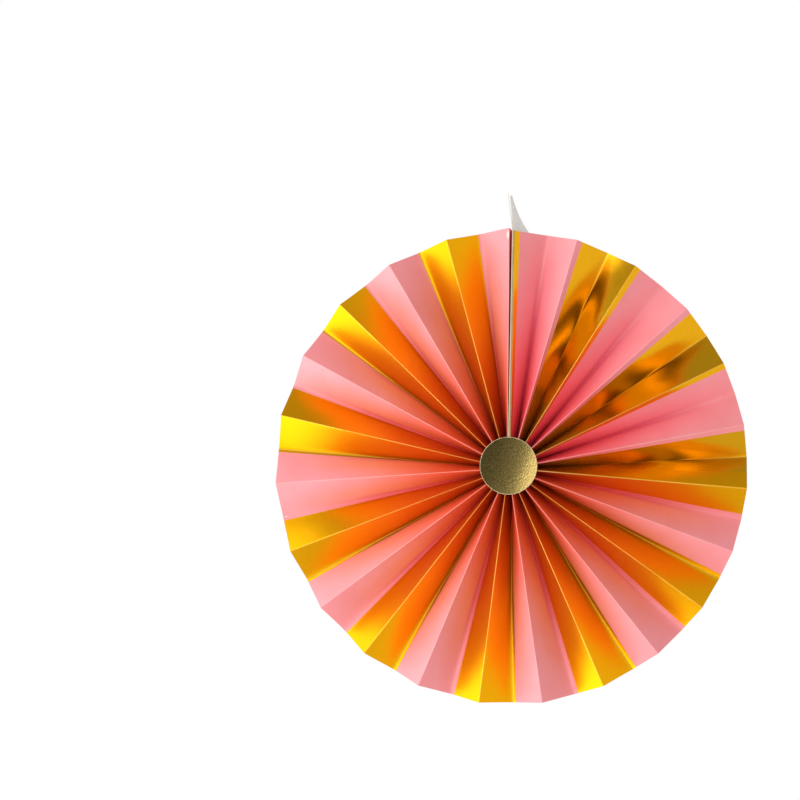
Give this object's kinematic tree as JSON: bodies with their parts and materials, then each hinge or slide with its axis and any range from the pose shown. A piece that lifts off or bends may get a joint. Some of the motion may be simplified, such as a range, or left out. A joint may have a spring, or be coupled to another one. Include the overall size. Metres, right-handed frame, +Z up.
{
  "type": "paper fan rosette",
  "caption": "Round wall decoration of striped paper in accordion pleats, opened into a full circle, with a card disc at the middle and a hanging tab at the top.",
  "frame": {"origin": "centre of the back disc's rear face, where the fan lies against a wall", "axes": "+X to the right as seen from the front, +Y back to the wall, +Z up to the hanging tab; the front faces -Y"},
  "size_m": [0.2994, 0.0254, 0.3235],
  "materials": {
    "striped_paper": "pink stripes, matt, and gold foil stripes, glossy; plain white back",
    "white_card": "matt white card",
    "gold_card": "satin gold foil on card"
  },
  "bodies": {
    "root": {"right_strip": "striped_paper", "left_strip": "striped_paper", "right_end_board": "white_card", "left_end_board": "white_card", "front_disc": "gold_card", "back_disc": "white_card"}
  },
  "joints": []
}
